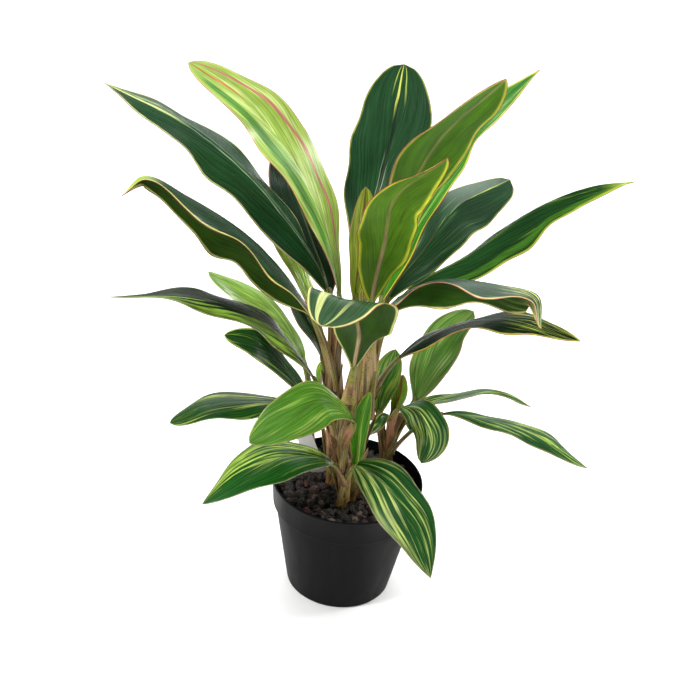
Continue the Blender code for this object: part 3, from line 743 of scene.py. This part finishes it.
def gravel_material():
    """Lava rock: porous scoria crushed to granules, dull dark brown with red and glassy ones, its paler grit
    flecks partly painted glints and its pores darkened as painted shade.
    """
    material, tree, (tone,) = new_material("crushed_scoria", "tone")
    place = add_node(tree, "TexCoord").outputs["Object"]
    grain = add_node(tree, "TexNoise", {"Vector": place, "Scale": scale_of(GRIT), "Detail": 3.0})
    pores = add_node(tree, "TexVoronoi", {"Vector": place, "Scale": scale_of(PORE)})
    finish_shader(tree, "120c0a", [
        ({0: tone, 1: 0.55, 2: 0.7}, "23140f"),
        ({0: tone, 1: 0.86, 2: 0.9}, "43231b"),
        ({0: tone, 1: 0.95, 2: 0.97}, "5d4b44"),
        # Paler flecks where the grit is also glossiest: partly the rock's own paler grit, partly painted
        # glints
        ({0: grain, 1: 0.58, 2: 0.7, 4: 0.4}, "40332d"),
        # Darker in the pores' hollows: painted shade
        ({0: pores, 1: 0.1, 2: 0.35, 3: 0.7, 4: 0.0}, "0f0a08"),
    ], {"Roughness": {0: grain, 1: 0.5, 2: 0.72, 3: 0.85, 4: 0.35}}, (pores, 0.8, PORE_RELIEF))
    return material


def pot_material():
    """Polypropylene, injection moulded from black recycled stock: satin with a faint flow grain."""
    material, tree, _ = new_material("black_polypropylene")
    place = add_node(tree, "TexCoord").outputs["Object"]
    stretched = {"Vector": place, "Scale": (1, 1, 1 / FLOW_STRETCH)}
    flow = add_node(tree, "TexNoise", {
        "Vector": add_node(tree, "Mapping", stretched),
        "Scale": scale_of(FLOW_MARK),
        "Detail": 4.0,
    })
    moulded = {"Vector": place, "Scale": scale_of(PLASTIC_GRAIN), "Detail": 2.0}
    grain = add_node(tree, "TexNoise", moulded)
    finish_shader(tree, "060607", [({0: flow, 1: 0.4, 2: 0.75, 4: 0.3}, "0e0d0f")], {
        "Roughness": {0: flow, 1: 0.3, 2: 0.7, 3: 0.46, 4: 0.6},
        "Specular IOR Level": 0.08,
    }, (grain, 0.25, PLASTIC_RELIEF))
    return material


def label_material():
    """Polystyrene sheet, die cut: pale grey and satin, faintly soiled towards the foot."""
    material, tree, _ = new_material("grey_polystyrene")
    place = add_node(tree, "TexCoord").outputs["Object"]
    height = add_node(tree, "SeparateXYZ", {0: place}).outputs["Z"]
    soiled = {"Vector": place, "Scale": scale_of(SMUDGE), "Detail": 4.0}
    smudges = add_node(tree, "TexNoise", soiled)
    dust = {0: height, 1: DUST_FULL * MM, 2: DUST_END * MM, 3: 0.8, 4: 0.0}
    finish_shader(tree, "bfc0be", [
        (add_node(tree, "Math", {0: dust, 1: smudges}, TIMES), "5a4a3e"),
        ({0: smudges, 1: 0.6, 2: 0.75, 4: 0.2}, "a8a8a4"),
    ], {"Roughness": {0: smudges, 1: 0.3, 2: 0.7, 3: 0.4, 4: 0.55}})
    return material


# Leaves, stalks and canes


def make_blade(leaf, seed):
    """A blade: a fine grid laid along the leaf's course, pleated along its veins, then thickened."""
    look = LOOKS[leaf.number]
    s, points, side, normal, stalk = spine_of(leaf)
    length = s[-1] - stalk
    rows = max(FEWEST_ROWS, round(length / BLADE_ROW))
    blade, t, u = new_grid("blade_" + leaf.number, rows, BLADE_COLUMNS)
    run = t * length
    uneven = np.sin(run / UNEVEN_SPACING + seed + FAR_SIDE_PHASE * np.sign(u)) * np.sin(np.pi * t)
    reach = half_width(leaf, t) * (1 + UNEVENNESS * uneven)
    mid = np.abs(u) * reach
    vein = np.abs(u) * leaf.width / 2 - VEIN_SLANT * run

    places = stalk + run - TUCK * (t < 1e-5)
    base_fold, tip_fold, curl = leaf.fold
    tilt = np.radians(base_fold + (tip_fold - base_fold) * t + curl * np.abs(u))
    shift = np.where(u >= 0, 0, FAR_SIDE_PHASE)
    swell = np.sin(np.pi * t) ** WAVE_FADE
    wave = leaf.wave * u * u * np.sin(2 * np.pi * run / WAVE_LENGTH + shift) * swell
    ripple = RIPPLE * u ** 4 * np.sin(run / RIPPLE_SPACING + seed + 2 * shift) * swell
    pleat = PLEAT_DEPTH * np.sin(2 * np.pi * vein / PLEAT_SPACING) * (1 - u * u)
    pleat *= np.minimum(1, mid / PLEAT_START)
    channel = CHANNEL_DEPTH * np.exp(-(mid / CHANNEL_WIDTH) ** 2) * (1 - MIDRIB_FADE * t)
    sideways = np.sign(u) * mid * np.cos(tilt)
    lift = mid * np.sin(tilt) + wave + ripple + pleat - channel
    across = read_at(places, s, side) * sideways[:, None]
    move_points(blade, read_at(places, s, points) + across + read_at(places, s, normal) * lift[:, None])
    keep_values(blade, {"along": t, "across": u, "vein": vein, "run": run, "rim": reach - mid, "mid": mid})

    weights = np.maximum(0, 1 - np.abs(u) / MIDRIB_REACH) * (1 - MIDRIB_FADE * t)
    midrib = blade.vertex_groups.new(name="midrib")
    for index, weight in enumerate(weights):
        midrib.add([index], weight, "REPLACE")
    wall = thicken(blade, MIDRIB_THICKNESS, 0)
    wall.vertex_group = "midrib"
    wall.thickness_vertex_group = BLADE_THICKNESS / MIDRIB_THICKNESS
    wall.material_offset = 1
    wall.material_offset_rim = 0
    faces = [leaf_material(leaf.number, look, seed, upper) for upper in (True, False)]
    dress(blade, faces, "leaf_" + leaf.number)
    apply_modifiers(blade)
    blade.vertex_groups.clear()
    shade(blade, angle=60)


def rolled(name, count, sides, section):
    """A grid rolled into a closed tube: section gives the points for places along and around."""
    obj, along, across = new_grid(name, count, sides)
    around = (across + 1) / 2
    move_points(obj, section(along, around))
    keep_values(obj, {"along": along, "around": np.sin(np.pi * around)})
    bpy.ops.object.mode_set(mode="EDIT")
    bpy.ops.mesh.select_all(action="SELECT")
    bpy.ops.mesh.remove_doubles(threshold=MERGE * MM)
    bpy.ops.mesh.fill_holes(sides=0)
    bpy.ops.mesh.normals_make_consistent(inside=False)
    bpy.ops.object.mode_set(mode="OBJECT")
    return obj


def make_stalk(leaf, tone):
    """A leaf stalk: channelled on its upper side, ribbed round its back and wider at its foot."""
    s, points, side, normal, length = spine_of(leaf)
    foot = CANES[leaf.cane].stalk_radius

    def section(along, around):
        places = along * (length + TUCK)
        radius = foot + (STALK_TIP_RADIUS - foot) * np.minimum(1, places / length)
        angle = 2 * np.pi * around
        from_top = np.minimum(angle, 2 * np.pi - angle)
        furrow = np.exp(-(from_top / STALK_CHANNEL_WIDTH) ** 2)
        channel = 1 - STALK_CHANNEL * furrow * np.minimum(1, along / STALK_CHANNEL_START)
        reach = radius * channel * (1 + STALK_RIB * np.cos(2 * STALK_RIBS * angle))
        breadth = STALK_BREADTH + (SHEATH_BREADTH - STALK_BREADTH) * (1 - along) ** SHEATH_TAPER
        sideways = read_at(places, s, side) * (reach * breadth * np.sin(angle))[:, None]
        lift = read_at(places, s, normal) * (reach * np.cos(angle))[:, None]
        return read_at(places, s, points) + sideways + lift

    rings = max(FEWEST_RINGS, round(length / STALK_RING_STEP))
    stalk = rolled("stalk_" + leaf.number, rings, STALK_SIDES, section)
    keep_values(stalk, {"bark": 0, "tone": tone})
    return stalk


def cane_radius(cane, heights):
    """A cane's radius at these heights."""
    low = cane.route[0][2]
    high = cane.route[-1][2]
    return cane.bottom_radius + (cane.top_radius - cane.bottom_radius) * (heights - low) / (high - low)


def round_cane(name, heights, reach, angle):
    """Points round a cane, at these heights, distances from its centre line and angles."""
    middle = np.stack([cane_point(name, height) for height in heights])
    return middle + np.stack([reach * np.cos(angle), reach * np.sin(angle), 0 * reach], 1)


def make_stem(name, cane, tone):
    """The cane itself, ringed by the scars of fallen leaves."""
    low = cane.route[0][2]
    high = cane.route[-1][2]

    def section(along, around):
        heights = low + (high - low) * along
        angle = 2 * np.pi * around
        rings = np.sin(np.pi * heights / SCAR_SPACING + SCAR_SLANT * np.sin(angle))
        ridges = CANE_RIDGE * np.cos(CANE_RIDGES * angle + CANE_TWIST * heights)
        swell = 1 + SCAR_SWELL * np.abs(rings) ** SCAR_SHARPNESS - ridges
        return round_cane(name, heights, cane_radius(cane, heights) * swell, angle)

    stem = rolled("stem_" + name, round((high - low) / CANE_RING_STEP), CANE_SIDES, section)
    keep_values(stem, {"bark": 1, "tone": tone})
    return stem


def make_clasp(name, cane, foot, turn, tone):
    """A clasping sheath: a sheet wrapped round the cane, drawn out to a point that leans away."""
    clasp, along, across = new_grid("clasp_" + name, CLASP_ROWS, CLASP_COLUMNS)
    heights = foot + CLASP_RISE * along * (1 - CLASP_SLOPE * np.abs(across))
    reach = cane_radius(cane, heights) + CLASP_GAP + CLASP_LEAN * along ** 3 * (1 - np.abs(across))
    angle = turn + np.radians(CLASP_WRAP) * across * (1 - CLASP_NARROWING * along)
    move_points(clasp, round_cane(name, heights, reach, angle))
    colouring = {"along": CLASP_DRYNESS * along, "around": (1 + across) / 2, "bark": 0, "tone": tone}
    keep_values(clasp, colouring)
    thicken(clasp, CLASP_THICKNESS, 1)
    apply_modifiers(clasp)
    return clasp


def make_canes():
    """The canes, each joined with its leaves' stalks and its clasping sheaths."""
    material = stalk_material()
    draw = random.Random(CANE_SEED)
    for name, cane in CANES.items():
        pieces = [make_stem(name, cane, draw.random() * 0.5)]
        pieces += [make_stalk(leaf, draw.random()) for leaf in LEAVES if leaf.cane == name]
        foot = cane.route[0][2] + CLASP_START
        turn = draw.random() * math.pi
        while foot + CLASP_RISE * CLASP_FIT < cane.route[-1][2]:
            pieces.append(make_clasp(name, cane, foot, turn, draw.random()))
            foot += CLASP_STEP
            turn += math.pi + draw.uniform(-CLASP_TURN, CLASP_TURN)
        body = joined("sheathed_cane_" + name, pieces)
        dress(body, [material], "cane_" + name)
        shade(body, angle=60)


# Pot, gravel and label

def lathe(name, profile, segments):
    """A turned piece: a filled circle, then rings drawn out of it one after another."""
    deselect_all()
    radius, height = profile[0]
    bpy.ops.mesh.primitive_circle_add(vertices=segments, radius=radius * MM, fill_type="NGON",
                                      location=(0, 0, height * MM))
    obj = named(name)
    bpy.ops.object.mode_set(mode="EDIT")
    bpy.ops.mesh.select_mode(type="EDGE")
    bpy.ops.mesh.select_all(action="SELECT")
    for (near, low), (far, high) in zip(profile, profile[1:]):
        bpy.ops.mesh.extrude_edges_move(TRANSFORM_OT_translate={"value": (0, 0, (high - low) * MM)})
        bpy.ops.transform.resize(value=(far / near, far / near, 1), center_override=(0, 0, high * MM))
    bpy.ops.mesh.edge_face_add()
    bpy.ops.mesh.select_all(action="SELECT")
    bpy.ops.mesh.normals_make_consistent(inside=False)
    bpy.ops.object.mode_set(mode="OBJECT")
    bpy.ops.object.transform_apply(location=True, rotation=False, scale=False)
    return obj


def body_radius(height):
    """The pot's outer radius below the collar."""
    return BASE_RADIUS + (BODY_TOP_RADIUS - BASE_RADIUS) * height / (POT_HEIGHT - COLLAR_HEIGHT)


def rounded(centre, radius, start, end, count=5):
    """Points on an arc of a profile, from one angle to another."""
    angles = np.radians(np.linspace(start, end, count))
    return [(centre[0] + radius * math.cos(a), centre[1] + radius * math.sin(a)) for a in angles]


def inner_step(gap):
    """The step in the pot's inner side, under the collar, at a gap from it."""
    return [
        (BODY_TOP_RADIUS - WALL - gap, POT_HEIGHT - COLLAR_HEIGHT - INNER_STEP_LOW),
        (COLLAR_LOW_RADIUS - WALL - gap, POT_HEIGHT - COLLAR_HEIGHT + INNER_STEP_HIGH),
    ]


def make_pot():
    """The pot: its base, tapered body, seam, collar, rolled rim and inner wall, with drain holes."""
    collar = POT_HEIGHT - COLLAR_HEIGHT
    half = WALL / 2
    foot = rounded((BASE_RADIUS - BASE_ROUNDING, BASE_ROUNDING), BASE_ROUNDING, -90, -5)
    seam = [
        (BODY_TOP_RADIUS - SEAM_LIP, collar - SEAM_GAP - SEAM_RISE),
        (BODY_TOP_RADIUS, collar - SEAM_GAP),
    ]
    step = rounded((COLLAR_LOW_RADIUS - COLLAR_ROUNDING, collar + SEAM_GAP), COLLAR_ROUNDING, -80, 0)
    edge = POT_HEIGHT - RIM_EDGE
    bead = [(RIM_RADIUS - RIM_STEP, edge - COLLAR_ROUNDING)]
    bead += rounded((RIM_RADIUS - BEAD_ROUNDING, edge), BEAD_ROUNDING, -70, 0, 3)
    rim = rounded((RIM_RADIUS - half, POT_HEIGHT - half), half, 0, 180, 9)
    floor = body_radius(FLOOR) - WALL
    inner = inner_step(0)[::-1] + [(floor, FLOOR + half), (floor - half, FLOOR)]
    pot = lathe("nursery_pot", foot + seam + step + bead + rim + inner, POT_SEGMENTS)
    cutters = []
    for i in range(DRAIN_HOLES):
        angle = 2 * math.pi * i / DRAIN_HOLES
        place = Vector((math.cos(angle), math.sin(angle), 0)) * DRAIN_CIRCLE_RADIUS * MM
        deselect_all()
        bpy.ops.mesh.primitive_cylinder_add(vertices=DRAIN_HOLE_SIDES, radius=DRAIN_HOLE_RADIUS * MM,
                                            depth=DRAIN_CUT_DEPTH * MM, location=place)
        cutters.append(named(f"drain_cutter_{i + 1}"))
    for cutter in cutters:
        hole = pot.modifiers.new(cutter.name, "BOOLEAN")
        hole.object = cutter
        hole.operation = "DIFFERENCE"
    apply_modifiers(pot)
    for cutter in cutters:
        bpy.data.objects.remove(cutter)
    dress(pot, [pot_material()], "pot")
    shade(pot, angle=35)


def make_filling(top_radius, level):
    """The filling: it fits the pot's inner side, and its top is rough."""
    profile = [(body_radius(FLOOR) - WALL - SOIL_GAP, FLOOR + FILLING_CLEARANCE)]
    profile += inner_step(SOIL_GAP)
    profile += [(top_radius * (1 - i / FILLING_RINGS), level) for i in range(FILLING_RINGS)]
    filling = lathe("filling", profile, FILLING_SEGMENTS)
    points = points_of(filling)
    for point in points:
        if point[2] > level - 0.1 and math.hypot(point[0], point[1]) < top_radius - FILLING_EDGE:
            point[2] += FILLING_BUMPS * noise.noise(Vector(point) / FILLING_BUMP_SPACING)
    move_points(filling, points)
    keep_values(filling, {"tone": 0.2})
    return filling


def make_granule():
    """One angular granule, a millimetre across: a cube with its edges and corners cut."""
    deselect_all()
    bpy.ops.mesh.primitive_cube_add(size=MM)
    stone = named("granule")
    bpy.ops.object.mode_set(mode="EDIT")
    bpy.ops.mesh.select_all(action="SELECT")
    bpy.ops.mesh.bevel(offset=GRANULE_CORNER * MM, segments=1, affect="EDGES")
    bpy.ops.object.mode_set(mode="OBJECT")
    return stone


def make_gravel():
    """The growing medium: a filling with a rough top, and loose granules lying on it."""
    draw = random.Random(GRANULE_SEED)
    slope = (RIM_RADIUS - COLLAR_LOW_RADIUS) / COLLAR_HEIGHT
    top_radius = RIM_RADIUS - WALL - SOIL_GAP - (POT_HEIGHT - SOIL_LEVEL) * slope
    level = SOIL_LEVEL - FILLING_DROP
    pieces = [make_filling(top_radius, level)]
    pattern = make_granule()
    corners = points_of(pattern)
    for _ in range(GRANULE_COUNT):
        size = draw.uniform(*GRANULE_SIZES)
        distance = (top_radius - size / 2 - GRANULE_CLEARANCE) * math.sqrt(draw.random())
        angle = draw.uniform(0, 2 * math.pi)
        x = distance * math.cos(angle)
        y = distance * math.sin(angle)
        room = [math.hypot(x - cane.route[0][0], y - cane.route[0][1]) - cane.bottom_radius
                for cane in CANES.values()]
        if min(room) < size / 2:
            continue
        stone = pattern.copy()
        stone.data = pattern.data.copy()
        bpy.context.collection.objects.link(stone)
        turn = np.array(Euler([draw.uniform(0, 2 * math.pi) for _ in range(3)]).to_matrix())
        squash = np.array([draw.uniform(*GRANULE_SQUASH) for _ in range(3)])
        push = np.array([[draw.uniform(-GRANULE_PUSH, GRANULE_PUSH) for _ in range(3)] for _ in corners])
        height = level + draw.uniform(*GRANULE_LIFT) * size
        move_points(stone, (corners + push) * size * squash @ turn.T + (x, y, height))
        keep_values(stone, {"tone": draw.random()})
        pieces.append(stone)
    bpy.data.objects.remove(pattern)
    gravel = joined("lava_gravel", pieces)
    dress(gravel, [gravel_material()], "soil")
    shade(gravel, angle=30)


def make_label():
    """The label: a thin strip cut to a point, with eased edges, pushed in at a lean."""
    straight = LABEL_LENGTH - LABEL_POINT
    deselect_all()
    bpy.ops.mesh.primitive_plane_add(size=MM, rotation=(math.radians(90), 0, 0))
    label = named("label_stake")
    bpy.ops.object.transform_apply(location=False, rotation=True, scale=False)
    bpy.ops.object.mode_set(mode="EDIT")
    bpy.ops.mesh.select_mode(type="VERT")
    bpy.ops.mesh.select_all(action="SELECT")
    bpy.ops.transform.resize(value=(LABEL_WIDTH, 1, straight), center_override=(0, 0, 0))
    bpy.ops.transform.translate(value=(0, 0, (LABEL_POINT + straight / 2) * MM))
    bpy.ops.mesh.select_all(action="DESELECT")
    bpy.ops.object.mode_set(mode="OBJECT")
    for vertex in label.data.vertices:
        vertex.select = vertex.co.z < (LABEL_POINT + 1) * MM
    bpy.ops.object.mode_set(mode="EDIT")
    bpy.ops.mesh.extrude_edges_move(TRANSFORM_OT_translate={"value": (0, 0, -LABEL_POINT * MM)})
    bpy.ops.transform.resize(value=(LABEL_POINT_WIDTH / LABEL_WIDTH, 1, 1), center_override=(0, 0, 0))
    bpy.ops.object.mode_set(mode="OBJECT")
    thicken(label, LABEL_THICKNESS, 0)
    ease = label.modifiers.new("Edges", "BEVEL")
    ease.width = LABEL_EDGE * MM
    ease.segments = 2
    apply_modifiers(label)
    turn = Euler((0, math.radians(LABEL_LEAN), math.radians(LABEL_TURN))).to_matrix().to_4x4()
    label.data.transform(Matrix.Translation(Vector((*LABEL_FOOT, LABEL_BOTTOM)) * MM) @ turn)
    dress(label, [label_material()], "plant_label")
    shade(label, angle=40)


# Studio

def make_floor():
    """The floor: a sheet of seamless studio paper, matt white with a fine tooth."""
    deselect_all()
    bpy.ops.mesh.primitive_plane_add(size=PAPER_BREADTH * MM, location=(0, 0, 0))
    floor = named("studio_floor")
    material, tree, _ = new_material("white_studio_paper")
    place = add_node(tree, "TexCoord").outputs["Object"]
    grain = add_node(tree, "TexNoise", {"Vector": place, "Scale": scale_of(PAPER_GRAIN)})
    finish_shader(tree, "f6f6f5", [], {"Roughness": {0: grain, 1: 0.3, 2: 0.7, 3: 0.75, 4: 0.85}})
    floor.data.materials.append(material)


def make_light():
    """Soft light from overhead, with a glow behind the plant and softboxes that its wax reflects."""
    world = bpy.data.worlds.new("studio")
    bpy.context.scene.world = world
    world.use_nodes = True
    tree = world.node_tree
    tree.nodes.clear()
    way = add_node(tree, "TexCoord").outputs["Generated"]
    aim = {0: way, 1: GLOW_TOWARDS}
    toward = add_node(tree, "VectorMath", aim, {"operation": "DOT_PRODUCT"}).outputs["Value"]
    glow = {0: toward, 1: GLOW_EDGE, 2: GLOW_CORE, 3: DIMMEST, 4: BRIGHTEST}
    background = add_node(tree, "Background", {"Color": (1, 1, 1, 1), "Strength": glow})
    add_node(tree, "OutputWorld", {"Surface": background})
    for name, lamp in LAMPS.items():
        place = Vector(lamp.place) * MM
        deselect_all()
        bpy.ops.object.light_add(type="AREA", location=place)
        light = bpy.context.object
        light.name = name
        light.data.shape = "DISK"
        light.data.size = lamp.breadth * MM
        light.data.energy = lamp.power
        light.visible_glossy = lamp.mirrored
        light.rotation_euler = (Vector(LAMP_AIM) * MM - place).to_track_quat("-Z", "Y").to_euler()


def make_camera():
    """The camera, at the photograph's angle."""
    pitch = math.radians(CAMERA_PITCH)
    roll = math.radians(CAMERA_ROLL)
    ahead = Vector((0, math.cos(pitch), -math.sin(pitch)))
    level = Vector((1, 0, 0))
    above = level.cross(ahead)
    right = level * math.cos(roll) + above * math.sin(roll)
    up = above * math.cos(roll) - level * math.sin(roll)
    bpy.ops.object.camera_add()
    camera = bpy.context.object
    camera.data.lens = CAMERA_LENS
    camera.data.sensor_width = SENSOR_WIDTH
    turn = Matrix((right, up, -ahead)).transposed().to_4x4()
    place = (Vector(CAMERA_TARGET) - ahead * CAMERA_DISTANCE) * MM
    camera.matrix_world = Matrix.Translation(place) @ turn
    bpy.context.scene.camera = camera


make_camera()
make_pot()
make_gravel()
make_label()
make_canes()
for number, plant_leaf in enumerate(LEAVES):
    make_blade(plant_leaf, 7 * number)
make_floor()
make_light()
bpy.context.scene.view_settings.view_transform = "Standard"
